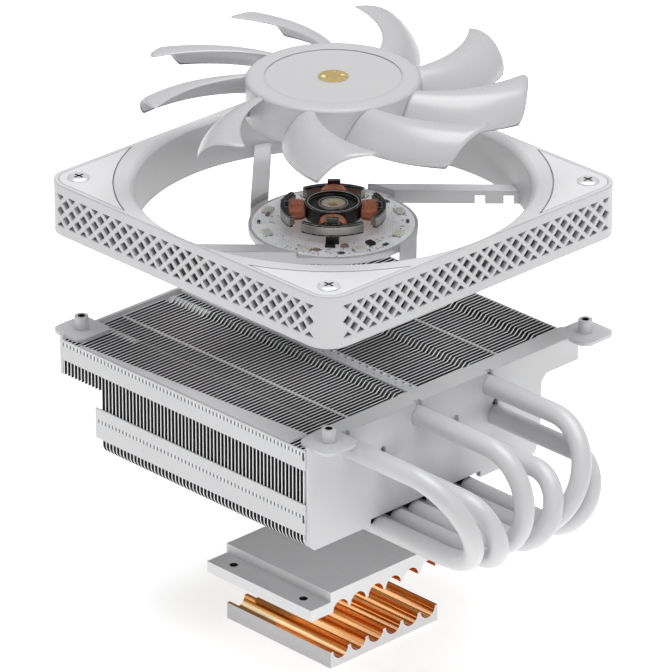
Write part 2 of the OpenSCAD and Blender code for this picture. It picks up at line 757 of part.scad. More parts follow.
base_plate();
cap_plate();
heat_pipe_1();
heat_pipe_2();
heat_pipe_3();
heat_pipe_4();
heat_pipe_5();
heat_pipe_6();
fins();
edge_strips();
top_strips();
front_end_plate();
rear_end_plate();
fan_posts();
fan_frame();
corner_covers();
fan_screws();
motor_board();
lamps();
drive_chip();
hall_sensor();
capacitors();
resistors();
stator_core();
stator_bobbin();
coils();
bearing_sleeve();
thrust_pad();
shaft_washer();
rotor_hub();
rotor_blades();
hub_insert();
magnet_ring();
rotor_yoke();
rotor_shaft();
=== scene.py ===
"""Low-profile down-draught processor cooler, lifted apart along its fan axis.

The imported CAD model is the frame. Each CAD node gets a node-based finish, and the pieces that need finer
shape, such as the blades, the motor windings and the board's solder joints, are built here in mesh code.
"""
import math
import random

import bmesh
import bpy
from mathutils import Matrix, Vector, noise
from mathutils.bvhtree import BVHTree


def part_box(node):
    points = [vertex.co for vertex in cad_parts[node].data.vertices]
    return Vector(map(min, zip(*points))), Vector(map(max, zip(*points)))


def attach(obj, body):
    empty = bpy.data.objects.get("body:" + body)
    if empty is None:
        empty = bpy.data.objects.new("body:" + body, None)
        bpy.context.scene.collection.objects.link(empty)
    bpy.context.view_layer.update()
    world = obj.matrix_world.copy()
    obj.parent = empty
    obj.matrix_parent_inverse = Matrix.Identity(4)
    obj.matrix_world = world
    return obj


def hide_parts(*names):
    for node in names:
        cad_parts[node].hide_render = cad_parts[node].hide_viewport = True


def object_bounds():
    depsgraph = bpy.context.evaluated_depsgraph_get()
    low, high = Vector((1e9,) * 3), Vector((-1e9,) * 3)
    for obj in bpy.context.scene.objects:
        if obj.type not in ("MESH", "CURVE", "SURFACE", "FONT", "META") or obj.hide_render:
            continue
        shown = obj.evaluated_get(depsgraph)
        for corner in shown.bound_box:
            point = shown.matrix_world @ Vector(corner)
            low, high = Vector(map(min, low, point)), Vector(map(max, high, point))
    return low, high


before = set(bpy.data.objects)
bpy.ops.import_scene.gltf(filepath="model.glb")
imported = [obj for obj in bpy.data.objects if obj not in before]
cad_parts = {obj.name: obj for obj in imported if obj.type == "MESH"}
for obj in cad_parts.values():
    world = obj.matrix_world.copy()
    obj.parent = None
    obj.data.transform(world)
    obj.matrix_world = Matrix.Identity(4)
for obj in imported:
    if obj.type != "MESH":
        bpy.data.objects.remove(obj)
cad_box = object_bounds()



# ---------------------------------------------------------------- places taken from the frame

def middle(node):
    """Centre of a CAD node's box."""
    lo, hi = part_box(node)
    return (lo + hi) / 2


def width(node, axis=0):
    """Size of a CAD node's box along an axis."""
    lo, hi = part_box(node)
    return hi[axis] - lo[axis]


FAN = middle("fan_frame")
FAN_AXIS = Vector((FAN.x, FAN.y, 0))
HUB_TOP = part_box("rotor_hub")[1].z
HUB_R = width("rotor_hub") / 2
BOARD_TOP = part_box("motor_board")[1].z
BOARD_R = width("motor_board") / 2
SCREW_REACH = 0.0525      # from the fan axis to a corner screw, along X and along Y
BLADES = 9
TIP_R = 0.0565            # blade tips, from the fan axis
FIN_PITCH = 0.0015


# ---------------------------------------------------------------- shader groups

def group_with(name, inputs, outputs):
    """An empty shader group with named sockets, and its two end nodes."""
    g = bpy.data.node_groups.new(name, "ShaderNodeTree")
    for label, kind, value in inputs:
        s = g.interface.new_socket(label, in_out="INPUT", socket_type=kind)
        s.default_value = value
    for label, kind in outputs:
        g.interface.new_socket(label, in_out="OUTPUT", socket_type=kind)
    return g, g.nodes.new("NodeGroupInput"), g.nodes.new("NodeGroupOutput")


def maths(tree, op, a, b=None, clamp=False):
    """A Math node fed by sockets or numbers."""
    n = tree.nodes.new("ShaderNodeMath")
    n.operation = op
    n.use_clamp = clamp
    for i, v in enumerate((a, b)):
        if v is None:
            continue
        if isinstance(v, (int, float)):
            n.inputs[i].default_value = v
        else:
            tree.links.new(v, n.inputs[i])
    return n.outputs[0]


def blend_colour(tree, factor, a, b, mode="MIX"):
    """A colour Mix node fed by sockets or values."""
    n = tree.nodes.new("ShaderNodeMix")
    n.data_type = "RGBA"
    n.blend_type = mode
    for i, v in ((0, factor), (6, a), (7, b)):
        if isinstance(v, (int, float)):
            n.inputs[i].default_value = v
        elif isinstance(v, tuple):
            n.inputs[i].default_value = v
        else:
            tree.links.new(v, n.inputs[i])
    return n.outputs[2]


def noise_at(tree, coords, scale, detail, rough=0.5):
    """A Noise Texture's factor."""
    n = tree.nodes.new("ShaderNodeTexNoise")
    tree.links.new(coords, n.inputs["Vector"])
    if isinstance(scale, (int, float)):
        n.inputs["Scale"].default_value = scale
    else:
        tree.links.new(scale, n.inputs["Scale"])
    n.inputs["Detail"].default_value = detail
    n.inputs["Roughness"].default_value = rough
    return n.outputs["Fac"]


def spread(tree, value, lo, hi, out_lo, out_hi):
    """A clamped Map Range."""
    n = tree.nodes.new("ShaderNodeMapRange")
    tree.links.new(value, n.inputs["Value"])
    for label, v in (("From Min", lo), ("From Max", hi), ("To Min", out_lo), ("To Max", out_hi)):
        if isinstance(v, (int, float)):
            n.inputs[label].default_value = v
        else:
            tree.links.new(v, n.inputs[label])
    return n.outputs["Result"]


def within(tree, value, centre, half):
    """1 where a value lies within half of a centre."""
    return maths(tree, "LESS_THAN", maths(tree, "ABSOLUTE", maths(tree, "SUBTRACT", value, centre)), half)


def powder_coat_group():
    """Fine orange-peel of a sprayed or moulded matt skin, with slow changes of shade and grey specks."""
    g, gi, go = group_with("powder_coat", [
        ("Colour", "NodeSocketColor", (0.8, 0.8, 0.8, 1)), ("Shade", "NodeSocketFloat", 0.06),
        ("Grain size", "NodeSocketFloat", 900.0), ("Roughness", "NodeSocketFloat", 0.45)],
        [("Colour", "NodeSocketColor"), ("Roughness", "NodeSocketFloat"), ("Height", "NodeSocketFloat")])
    at = g.nodes.new("ShaderNodeTexCoord").outputs["Object"]
    grain = noise_at(g, at, gi.outputs["Grain size"], 3.0, 0.6)
    slow = noise_at(g, at, 22.0, 3.0)
    drop = maths(g, "MULTIPLY", spread(g, slow, 0.35, 0.7, 0.0, 1.0), gi.outputs["Shade"])
    keep = maths(g, "SUBTRACT", 1.0, drop)
    hsv = g.nodes.new("ShaderNodeHueSaturation")
    g.links.new(gi.outputs["Colour"], hsv.inputs["Color"])
    g.links.new(keep, hsv.inputs["Value"])
    speck = spread(g, grain, 0.62, 0.8, 0.0, 0.05)
    tint = blend_colour(g, speck, hsv.outputs["Color"], (0.55, 0.55, 0.56, 1))
    g.links.new(tint, go.inputs["Colour"])
    rough = maths(g, "ADD", gi.outputs["Roughness"], spread(g, grain, 0.3, 0.7, -0.05, 0.07), clamp=True)
    g.links.new(rough, go.inputs["Roughness"])
    g.links.new(grain, go.inputs["Height"])
    return g


def machining_group():
    """Fine parallel cutter lines along one axis, with drifting depth."""
    g, gi, go = group_with("machining_lines", [
        ("Direction", "NodeSocketVector", (900.0, 12.0, 12.0)), ("Colour", "NodeSocketColor", (0.7, 0.7, 0.7, 1)),
        ("Contrast", "NodeSocketFloat", 0.15), ("Roughness", "NodeSocketFloat", 0.3)],
        [("Colour", "NodeSocketColor"), ("Roughness", "NodeSocketFloat"), ("Height", "NodeSocketFloat")])
    at = g.nodes.new("ShaderNodeTexCoord").outputs["Object"]
    stretch = g.nodes.new("ShaderNodeVectorMath")
    stretch.operation = "MULTIPLY"
    g.links.new(at, stretch.inputs[0])
    g.links.new(gi.outputs["Direction"], stretch.inputs[1])
    lines = noise_at(g, stretch.outputs[0], 1.0, 4.0, 0.65)
    blotch = noise_at(g, at, 60.0, 2.0)
    dark = maths(g, "MULTIPLY", spread(g, lines, 0.3, 0.75, 0.0, 1.0), gi.outputs["Contrast"])
    hsv = g.nodes.new("ShaderNodeHueSaturation")
    g.links.new(gi.outputs["Colour"], hsv.inputs["Color"])
    g.links.new(maths(g, "SUBTRACT", 1.0, dark), hsv.inputs["Value"])
    g.links.new(hsv.outputs["Color"], go.inputs["Colour"])
    rough = maths(g, "ADD", gi.outputs["Roughness"], spread(g, lines, 0.3, 0.7, -0.06, 0.1))
    rough = maths(g, "ADD", rough, spread(g, blotch, 0.35, 0.65, -0.03, 0.05), clamp=True)
    g.links.new(rough, go.inputs["Roughness"])
    g.links.new(lines, go.inputs["Height"])
    return g


def edge_wear_group():
    """Mask of outside edges, from the difference between a bevelled and the plain normal, for worn edges and for
    painted edge highlights.
    """
    g, gi, go = group_with("edge_wear", [
        ("Radius", "NodeSocketFloat", 0.0004), ("Amount", "NodeSocketFloat", 0.5)],
        [("Mask", "NodeSocketFloat")])
    at = g.nodes.new("ShaderNodeTexCoord").outputs["Object"]
    bevel = g.nodes.new("ShaderNodeBevel")
    bevel.samples = 4
    g.links.new(gi.outputs["Radius"], bevel.inputs["Radius"])
    plain = g.nodes.new("ShaderNodeNewGeometry").outputs["Normal"]
    dot = g.nodes.new("ShaderNodeVectorMath")
    dot.operation = "DOT_PRODUCT"
    g.links.new(bevel.outputs["Normal"], dot.inputs[0])
    g.links.new(plain, dot.inputs[1])
    edge = spread(g, dot.outputs["Value"], 0.98, 0.75, 0.0, 1.0)
    broken = spread(g, noise_at(g, at, 700.0, 3.0), 0.4, 0.65, 0.2, 1.0)
    mask = maths(g, "MULTIPLY", maths(g, "MULTIPLY", edge, broken), gi.outputs["Amount"], clamp=True)
    g.links.new(mask, go.inputs["Mask"])
    return g


COAT = powder_coat_group()
CUT = machining_group()
HIGHLIGHT_AND_WEAR = edge_wear_group()


# ---------------------------------------------------------------- finishes

def finish_named(name):
    """A new material with its Principled BSDF."""
    m = bpy.data.materials.new(name)
    m.use_nodes = True
    return m, m.node_tree, m.node_tree.nodes["Principled BSDF"]


def place(tree, group, **values):
    """A group node with its inputs set by name, underscores read as spaces."""
    n = tree.nodes.new("ShaderNodeGroup")
    n.node_tree = group
    for k, v in values.items():
        n.inputs[k.replace("_", " ")].default_value = v
    return n


def bump_from(tree, bsdf, height, strength, distance):
    """Bump the shader's normal by a height."""
    b = tree.nodes.new("ShaderNodeBump")
    b.inputs["Strength"].default_value = strength
    b.inputs["Distance"].default_value = distance
    tree.links.new(height, b.inputs["Height"])
    tree.links.new(b.outputs["Normal"], bsdf.inputs["Normal"])
    return b


def round_off(tree, bump, radius):
    """Rounded-looking edges: the bump starts from a bevelled normal."""
    n = tree.nodes.new("ShaderNodeBevel")
    n.samples = 4
    n.inputs["Radius"].default_value = radius
    tree.links.new(n.outputs["Normal"], bump.inputs["Normal"])


def coated(name, colour, rough, grain_size, bump, shade=0.06, coat=0.0, edge=(0.93, 0.93, 0.93, 1), wear=0.25,
           soft=0.0003):
    """A sprayed, coated or moulded light skin with grain and brighter edges, for worn edges and, set strongly, for a
    painted edge highlight.
    """
    m, t, b = finish_named(name)
    skin = place(t, COAT, Colour=colour, Shade=shade, Grain_size=grain_size, Roughness=rough)
    edge_band = place(t, HIGHLIGHT_AND_WEAR, Radius=0.0003, Amount=wear)
    tint = blend_colour(t, edge_band.outputs["Mask"], skin.outputs["Colour"], edge)
    t.links.new(tint, b.inputs["Base Color"])
    t.links.new(skin.outputs["Roughness"], b.inputs["Roughness"])
    b.inputs["Coat Weight"].default_value = coat
    b.inputs["Coat Roughness"].default_value = 0.25
    round_off(t, bump_from(t, b, skin.outputs["Height"], bump, 0.0001), soft)
    return m


def machined(name, colour, rough, direction, contrast=0.2, metal=1.0, bump=0.25, edge=(0.95, 0.95, 0.95, 1),
             wear=0.4):
    """Bare metal with cutter or drawing lines along one direction."""
    m, t, b = finish_named(name)
    cut = place(t, CUT, Direction=direction, Colour=colour, Contrast=contrast, Roughness=rough)
    edge_band = place(t, HIGHLIGHT_AND_WEAR, Radius=0.00025, Amount=wear)
    tint = blend_colour(t, edge_band.outputs["Mask"], cut.outputs["Colour"], edge)
    t.links.new(tint, b.inputs["Base Color"])
    t.links.new(cut.outputs["Roughness"], b.inputs["Roughness"])
    b.inputs["Metallic"].default_value = metal
    bump_from(t, b, cut.outputs["Height"], bump, 0.00005)
    return m


def slot_rows_group():
    """Rows of short slots where neighbouring fins hook into each other, one slot per fin."""
    g, gi, go = group_with("lip_slots", [
        ("Start", "NodeSocketFloat", 0.0), ("Pitch", "NodeSocketFloat", 0.0015),
        ("Upper row", "NodeSocketFloat", 0.084), ("Lower row", "NodeSocketFloat", 0.064),
        ("Half height", "NodeSocketFloat", 0.0005), ("Hook", "NodeSocketFloat", 0.04),
        ("Position", "NodeSocketVector", (0, 0, 0))],
        [("Slot", "NodeSocketFloat"), ("Rim", "NodeSocketFloat"), ("Hook", "NodeSocketFloat")])
    axes = g.nodes.new("ShaderNodeSeparateXYZ")
    g.links.new(gi.outputs["Position"], axes.inputs[0])
    along = maths(g, "DIVIDE", maths(g, "SUBTRACT", axes.outputs["X"], gi.outputs["Start"]), gi.outputs["Pitch"])
    phase = maths(g, "FRACT", along)
    masks = []
    for lo, hi in ((0.28, 0.66), (0.70, 0.90)):
        across = maths(g, "MULTIPLY", maths(g, "GREATER_THAN", phase, lo), maths(g, "LESS_THAN", phase, hi))
        rows = None
        for label in ("Upper row", "Lower row"):
            one = within(g, axes.outputs["Z"], gi.outputs[label], gi.outputs["Half height"])
            rows = one if rows is None else maths(g, "MAXIMUM", rows, one)
        masks.append(maths(g, "MULTIPLY", across, rows))
    hook_x = within(g, axes.outputs["X"], gi.outputs["Hook"], 0.00042)
    hook_z = None
    for label in ("Upper row", "Lower row"):
        below_row = maths(g, "SUBTRACT", gi.outputs[label], 0.0006)
        one = within(g, axes.outputs["Z"], below_row, 0.0013)
        hook_z = one if hook_z is None else maths(g, "MAXIMUM", hook_z, one)
    g.links.new(masks[0], go.inputs["Slot"])
    g.links.new(masks[1], go.inputs["Rim"])
    g.links.new(maths(g, "MULTIPLY", hook_x, hook_z), go.inputs["Hook"])
    return g


def depth_shade_group():
    """Mask that is 1 between two planes across X and above a level, for what lies hidden inside the fins."""
    g, gi, go = group_with("inside_stack", [("Front", "NodeSocketFloat", 0.0), ("Back", "NodeSocketFloat", -0.1),
                                            ("Level", "NodeSocketFloat", 0.0)], [("Mask", "NodeSocketFloat")])
    at = g.nodes.new("ShaderNodeTexCoord").outputs["Object"]
    axes = g.nodes.new("ShaderNodeSeparateXYZ")
    g.links.new(at, axes.inputs[0])
    between = maths(g, "MULTIPLY", maths(g, "LESS_THAN", axes.outputs["X"], gi.outputs["Front"]),
                    maths(g, "GREATER_THAN", axes.outputs["X"], gi.outputs["Back"]))
    high = maths(g, "GREATER_THAN", axes.outputs["Z"], gi.outputs["Level"])
    g.links.new(maths(g, "MULTIPLY", between, high), go.inputs["Mask"])
    return g


def trace_group():
    """Copper runs, pads and plated holes under a circuit board's solder mask."""
    g, gi, go = group_with("board_traces", [("Scale", "NodeSocketFloat", 420.0)],
                           [("Line", "NodeSocketFloat"), ("Hole", "NodeSocketFloat")])
    at = g.nodes.new("ShaderNodeTexCoord").outputs["Object"]
    cells = g.nodes.new("ShaderNodeTexBrick")
    g.links.new(at, cells.inputs["Vector"])
    g.links.new(gi.outputs["Scale"], cells.inputs["Scale"])
    cells.inputs["Mortar Size"].default_value = 0.06
    cells.inputs["Mortar Smooth"].default_value = 0.2
    dots = g.nodes.new("ShaderNodeTexVoronoi")
    dots.inputs["Scale"].default_value = 620.0
    g.links.new(at, dots.inputs["Vector"])
    patch = spread(g, noise_at(g, at, 160.0, 2.0), 0.46, 0.52, 0.0, 1.0)
    g.links.new(maths(g, "MULTIPLY", cells.outputs["Fac"], patch), go.inputs["Line"])
    hole = maths(g, "LESS_THAN", dots.outputs["Distance"], 0.16)
    keep = spread(g, noise_at(g, at, 230.0, 1.0), 0.5, 0.56, 0.0, 1.0)
    g.links.new(maths(g, "MULTIPLY", hole, keep), go.inputs["Hole"])
    return g


def groove_reflection_group():
    """Painted reflections: bright and dark bands set by which way the half-round groove wall faces, as a
    mirror-finished groove would show, the bright ones stronger to one end.
    """
    g, gi, go = group_with("groove_polish", [
        ("Near", "NodeSocketFloat", 0.03), ("Far", "NodeSocketFloat", -0.03)],
        [("Bright", "NodeSocketFloat"), ("Dark", "NodeSocketFloat")])
    at = g.nodes.new("ShaderNodeTexCoord").outputs["Object"]
    axes = g.nodes.new("ShaderNodeSeparateXYZ")
    g.links.new(at, axes.inputs[0])
    turn = g.nodes.new("ShaderNodeSeparateXYZ")
    g.links.new(g.nodes.new("ShaderNodeNewGeometry").outputs["Normal"], turn.inputs[0])
    stretch = g.nodes.new("ShaderNodeVectorMath")
    stretch.operation = "MULTIPLY"
    g.links.new(at, stretch.inputs[0])
    stretch.inputs[1].default_value = (14.0, 900.0, 900.0)
    streak = noise_at(g, stretch.outputs[0], 1.0, 3.0, 0.6)
    wall = maths(g, "ADD", turn.outputs["Y"], spread(g, streak, 0.3, 0.7, -0.07, 0.07))
    masks = []
    for centre, half in ((-0.60, 0.16), (0.45, 0.08), (-0.86, 0.06), (-0.36, 0.04)):
        off = maths(g, "ABSOLUTE", maths(g, "SUBTRACT", wall, centre))
        masks.append(spread(g, off, half, half * 0.6, 0.0, 1.0))
    along = g.nodes.new("ShaderNodeMapRange")
    g.links.new(axes.outputs["X"], along.inputs["Value"])
    g.links.new(gi.outputs["Near"], along.inputs["From Min"])
    g.links.new(gi.outputs["Far"], along.inputs["From Max"])
    along.inputs["To Min"].default_value = 0.55
    bright = maths(g, "MULTIPLY", maths(g, "MAXIMUM", masks[0], masks[1]), along.outputs["Result"])
    g.links.new(bright, go.inputs["Bright"])
    g.links.new(maths(g, "MULTIPLY", maths(g, "MAXIMUM", masks[2], masks[3]), 0.8), go.inputs["Dark"])
    return g


SLOTS = slot_rows_group()
GROOVE_REFLECTION = groove_reflection_group()
INSIDE = depth_shade_group()
TRACES = trace_group()


def tint_base(m, factor, colour):
    """Lay a colour over a material's base colour where a mask says so."""
    t = m.node_tree
    b = t.nodes["Principled BSDF"]
    old = b.inputs["Base Color"].links[0].from_socket
    t.links.new(blend_colour(t, factor, old, colour), b.inputs["Base Color"])


def slotted(m, flat=False):
    """Rows of hook slots in the folded bands, the slot openings and hook gaps coloured dark as painted shade; flat
    turns the rows to lie across Y on the top face.
    """
    t = m.node_tree
    lo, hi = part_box("edge_strips")
    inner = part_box("fins")[1].x
    at = t.nodes.new("ShaderNodeTexCoord").outputs["Object"]
    if flat:
        split, join = t.nodes.new("ShaderNodeSeparateXYZ"), t.nodes.new("ShaderNodeCombineXYZ")
        t.links.new(at, split.inputs[0])
        for i, j in ((0, 0), (1, 2), (2, 1)):
            t.links.new(split.outputs[i], join.inputs[j])
        at = join.outputs[0]
        mid = FAN.y - 0.0085
        rows = place(t, SLOTS, Start=lo.x, Pitch=2 * FIN_PITCH, Upper_row=mid + 0.0009, Lower_row=mid - 0.0009,
                     Half_height=0.00032, Hook=9.0)
    else:
        rows = place(t, SLOTS, Start=lo.x, Pitch=FIN_PITCH, Upper_row=hi.z - 0.0014, Lower_row=hi.z - 0.0213,
                     Half_height=0.0006, Hook=inner - 0.0008)
    t.links.new(at, rows.inputs["Position"])
    # Painted shade: slot openings dark grey, hook gaps black.
    tint_base(m, rows.outputs["Slot"], (0.11, 0.11, 0.12, 1) if not flat else (0.3, 0.3, 0.31, 1))
    tint_base(m, rows.outputs["Rim"], (0.92, 0.92, 0.92, 1))
    tint_base(m, rows.outputs["Hook"], (0.004, 0.004, 0.004, 1))
    return m


def hidden_inside(m):
    """Painted shade: near black where it lies inside the fin stack."""
    lo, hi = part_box("fins")
    plane = place(m.node_tree, INSIDE, Front=hi.x + 0.0001, Back=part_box("heat_pipe_6")[0].x + 0.0012,
                  Level=lo.z - 0.0005)
    tint_base(m, plane.outputs["Mask"], (0.02, 0.02, 0.02, 1))
    return m


def painted_groove_reflection(m):
    """Painted reflections in the copper of the grooves: dark bands, and bright bands that also glow."""
    t = m.node_tree
    b = t.nodes["Principled BSDF"]
    lo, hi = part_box("base_plate")
    reflection_bands = place(t, GROOVE_REFLECTION, Near=hi.x, Far=lo.x)
    tint_base(m, reflection_bands.outputs["Dark"], (0.12, 0.035, 0.008, 1))
    tint_base(m, reflection_bands.outputs["Bright"], (1.0, 0.88, 0.62, 1))
    # Painted glint: the bright reflection bands glow.
    b.inputs["Emission Color"].default_value = (1.0, 0.78, 0.45, 1)
    t.links.new(maths(t, "MULTIPLY", reflection_bands.outputs["Bright"], 0.6), b.inputs["Emission Strength"])
    return m


def traced(m):
    """Board with traces and plated holes, and a faint painted glow in its own colour that lifts it out of the rotor's
    shade.
    """
    run = place(m.node_tree, TRACES, Scale=420.0)
    tint_base(m, maths(m.node_tree, "MULTIPLY", run.outputs["Line"], 0.4), (0.52, 0.53, 0.55, 1))
    tint_base(m, run.outputs["Hole"], (0.30, 0.27, 0.22, 1))
    b = m.node_tree.nodes["Principled BSDF"]
    # Painted light: the board glows faintly in its own colour, though it is no lamp.
    m.node_tree.links.new(b.inputs["Base Color"].links[0].from_socket, b.inputs["Emission Color"])
    b.inputs["Emission Strength"].default_value = 0.14
    return m


# Painted shade: fin sides that face another fin are coloured near black for the shade in the narrow gaps.
FIN_SIDE_SHADE = coated("fin_side_painted_shade", (0.035, 0.035, 0.036, 1), 0.5, 1200.0, 0.12, edge=(0.4, 0.4, 0.4, 1), wear=0.1)
# Painted shade: near black for the hollow behind the grille.
HOLLOW_SHADE = coated("frame_hollow_shade", (0.02, 0.02, 0.021, 1), 0.6, 1200.0, 0.12, edge=(0.1, 0.1, 0.1, 1), wear=0.0)
# Painted shade: near black for the cap's threaded holes, the screw recesses and the post bores.
RECESS_SHADE = coated("painted_recess_shade", (0.006, 0.006, 0.006, 1), 0.7, 1200.0, 0.1, edge=(0.02, 0.02, 0.02, 1), wear=0.0)
FIN_WHITE = coated("fin_coat", (0.93, 0.93, 0.94, 1), 0.38, 1200.0, 0.05, coat=0.1, soft=0.0001)
STRIP_WHITE = slotted(coated("folded_lip_coat", (0.66, 0.66, 0.67, 1), 0.38, 1500.0, 0.15, coat=0.1))
TOP_WHITE = slotted(coated("top_lip_coat", (0.62, 0.62, 0.63, 1), 0.38, 1500.0, 0.15, coat=0.1), flat=True)
PLATE_WHITE = coated("end_plate_powder", (0.66, 0.66, 0.67, 1), 0.42, 1900.0, 0.22, soft=0.0004)
POST_WHITE = coated("post_powder", (0.70, 0.70, 0.71, 1), 0.42, 1900.0, 0.2)
PIPE_WHITE = hidden_inside(coated("pipe_coat", (0.60, 0.60, 0.61, 1), 0.33, 1500.0, 0.08, coat=0.25, shade=0.03))
FRAME_WHITE = coated("frame_moulding", (0.64, 0.64, 0.65, 1), 0.44, 2000.0, 0.16, soft=0.0008)
COVER_WHITE = coated("cover_moulding", (0.70, 0.70, 0.71, 1), 0.5, 2600.0, 0.3, soft=0.0003)
HUB_WHITE = coated("hub_milk", (0.56, 0.56, 0.57, 1), 0.33, 2600.0, 0.12, shade=0.02, coat=0.2, soft=0.0016,
                   edge=(0.7, 0.7, 0.7, 1), wear=0.2)
ROTOR_WHITE = coated("rotor_milk", (0.52, 0.52, 0.53, 1), 0.30, 2600.0, 0.03, shade=0.01, coat=0.3,
                     edge=(0.8, 0.8, 0.8, 1), wear=0.4)
BOARD_WHITE = traced(coated("board_mask", (0.92, 0.93, 0.95, 1), 0.3, 1800.0, 0.1, coat=0.3))
LAMP_BODY = coated("lamp_ceramic", (0.93, 0.93, 0.90, 1), 0.4, 2500.0, 0.1, coat=0.2)
LAMP_CREAM = coated("lamp_phosphor", (0.88, 0.87, 0.68, 1), 0.3, 2500.0, 0.1, coat=0.5)
CHIP_BLACK = coated("chip_mould", (0.012, 0.012, 0.013, 1), 0.4, 2600.0, 0.2, edge=(0.05, 0.05, 0.05, 1))
CHIP_TAN = coated("chip_ceramic", (0.35, 0.24, 0.15, 1), 0.4, 2600.0, 0.2, edge=(0.45, 0.35, 0.25, 1))
CHIP_GREY = coated("chip_body", (0.06, 0.06, 0.065, 1), 0.4, 2600.0, 0.2, edge=(0.1, 0.1, 0.1, 1))
# Painted highlight: the strong edge setting turns the black edges nearly white.
BOBBIN_BLACK = coated("bobbin_gloss", (0.003, 0.003, 0.003, 1), 0.42, 700.0, 0.05, coat=0.12, soft=0.0001,
                      edge=(0.9, 0.9, 0.9, 1), wear=1.6)
# Painted highlight: a pale finish for thin rings that stand for light on black rims.
RIM_HIGHLIGHT = coated("painted_rim_highlight", (0.90, 0.90, 0.91, 1), 0.3, 900.0, 0.05, coat=0.2)
PAD_IVORY = coated("pad_nylon", (0.6, 0.58, 0.5, 1), 0.5, 1200.0, 0.1)
PLATE_METAL = machined("cap_cut", (0.86, 0.86, 0.87, 1), 0.42, (18.0, 1400.0, 1400.0), contrast=0.08, metal=0.05)
END_METAL = machined("sawn_end", (0.93, 0.93, 0.94, 1), 0.45, (900.0, 60.0, 900.0), contrast=0.04, metal=0.0,
                     bump=0.1)
BASE_METAL = machined("base_cut", (0.64, 0.64, 0.65, 1), 0.36, (1400.0, 18.0, 1400.0), contrast=0.10, metal=0.25)
COPPER = painted_groove_reflection(machined("groove_copper", (0.93, 0.40, 0.11, 1), 0.10, (10.0, 3200.0, 3200.0), contrast=0.45,
                           bump=0.35, edge=(1.0, 0.85, 0.55, 1), wear=0.6))
SCREW_STEEL = machined("screw_plate", (0.80, 0.80, 0.81, 1), 0.35, (900.0, 900.0, 40.0), metal=0.35)
LAMINATION = machined("lamination", (0.42, 0.41, 0.38, 1), 0.3, (20.0, 20.0, 5200.0), contrast=0.5, metal=0.7)
STEEL = machined("ground_steel", (0.62, 0.62, 0.64, 1), 0.18, (30.0, 30.0, 4200.0))
BRONZE = machined("bearing_bronze", (0.98, 0.84, 0.60, 1), 0.3, (900.0, 900.0, 60.0), contrast=0.1, metal=0.15)
BRASS = machined("insert_brass", (1.0, 0.78, 0.34, 1), 0.12, (700.0, 700.0, 50.0), contrast=0.2, metal=0.65)
SOLDER = machined("solder_tin", (0.72, 0.72, 0.73, 1), 0.22, (900.0, 900.0, 900.0), contrast=0.2)
MAGNET = coated("magnet_ferrite", (0.05, 0.05, 0.052, 1), 0.5, 2400.0, 0.3, edge=(0.12, 0.12, 0.12, 1))
WIRE = machined("coil_wire", (0.95, 0.36, 0.20, 1), 0.24, (60.0, 60.0, 60.0), contrast=0.15, metal=0.45)


def dress(node, *finishes):
    """Give a CAD node its finishes."""
    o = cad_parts[node]
    o.data.materials.clear()
    for f in finishes:
        o.data.materials.append(f)
    return o


def dress_cad_nodes():
    """A finish for every carried-over CAD node."""
    plain = {
        "fins": FIN_WHITE, "edge_strips": STRIP_WHITE, "top_strips": TOP_WHITE, "front_end_plate": PLATE_WHITE,
        "rear_end_plate": PLATE_WHITE, "fan_posts": POST_WHITE, "fan_frame": FRAME_WHITE,
        "corner_covers": COVER_WHITE, "fan_screws": SCREW_STEEL, "motor_board": BOARD_WHITE, "lamps": LAMP_BODY,
        "drive_chip": CHIP_BLACK, "hall_sensor": CHIP_BLACK, "capacitors": CHIP_TAN, "resistors": CHIP_GREY,
        "stator_core": LAMINATION, "stator_bobbin": BOBBIN_BLACK, "coils": WIRE, "bearing_sleeve": BRONZE,
        "thrust_pad": PAD_IVORY, "shaft_washer": PAD_IVORY, "rotor_hub": HUB_WHITE, "rotor_blades": ROTOR_WHITE,
        "hub_insert": BRASS, "magnet_ring": MAGNET, "rotor_yoke": STEEL, "rotor_shaft": STEEL}
    for i in range(1, 7):
        plain["heat_pipe_%d" % i] = PIPE_WHITE
    for node, f in plain.items():
        dress(node, f)
    fin_sides(dress("fins", FIN_WHITE, FIN_SIDE_SHADE))
    frame_hollow_shade(dress("fan_frame", FRAME_WHITE, HOLLOW_SHADE))
    for node, metal in (("base_plate", BASE_METAL), ("cap_plate", PLATE_METAL)):
        copper_grooves(dress(node, metal, COPPER, END_METAL, RECESS_SHADE), node)
    dark_holes(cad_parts["cap_plate"])
    screw_crosses(dress("fan_screws", SCREW_STEEL, RECESS_SHADE))
    post_bores(dress("fan_posts", POST_WHITE, RECESS_SHADE))


def fin_sides(o):
    """The broad sides of the fins that face another fin get the painted shade, near black, for the little light they
    see; those with no fin in front of them stay light.
    """
    me = o.data
    tree = BVHTree.FromPolygons([v.co for v in me.vertices], [p.vertices[:] for p in me.polygons])
    for p in me.polygons:
        p.material_index = 0
        if abs(p.normal.x) > 0.7:
            out = Vector((math.copysign(1, p.normal.x), 0, 0))
            if tree.ray_cast(p.center + out * 0.00002, out)[0] is not None:
                p.material_index = 1


def frame_hollow_shade(o):
    """Painted shade in the hollow behind the grille: the outside of the round wall and the inside of the skin take
    the near-black finish.
    """
    lo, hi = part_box("fan_frame")
    half = (hi.x - lo.x) / 2
    for p in o.data.polygons:
        c = p.center - FAN
        n = p.normal
        if abs(n.z) > 0.5 or c.z > (hi.z - lo.z) / 2 - 0.0015:
            continue
        r = math.hypot(c.x, c.y)
        outward = (c.x * n.x + c.y * n.y) / max(r, 1e-6)
        if (0.0586 < r < 0.0600 and outward > 0.6) or (r > 0.0575 and outward < -0.5 and
                max(abs(c.x), abs(c.y)) > half - 0.0016):
            p.material_index = 1


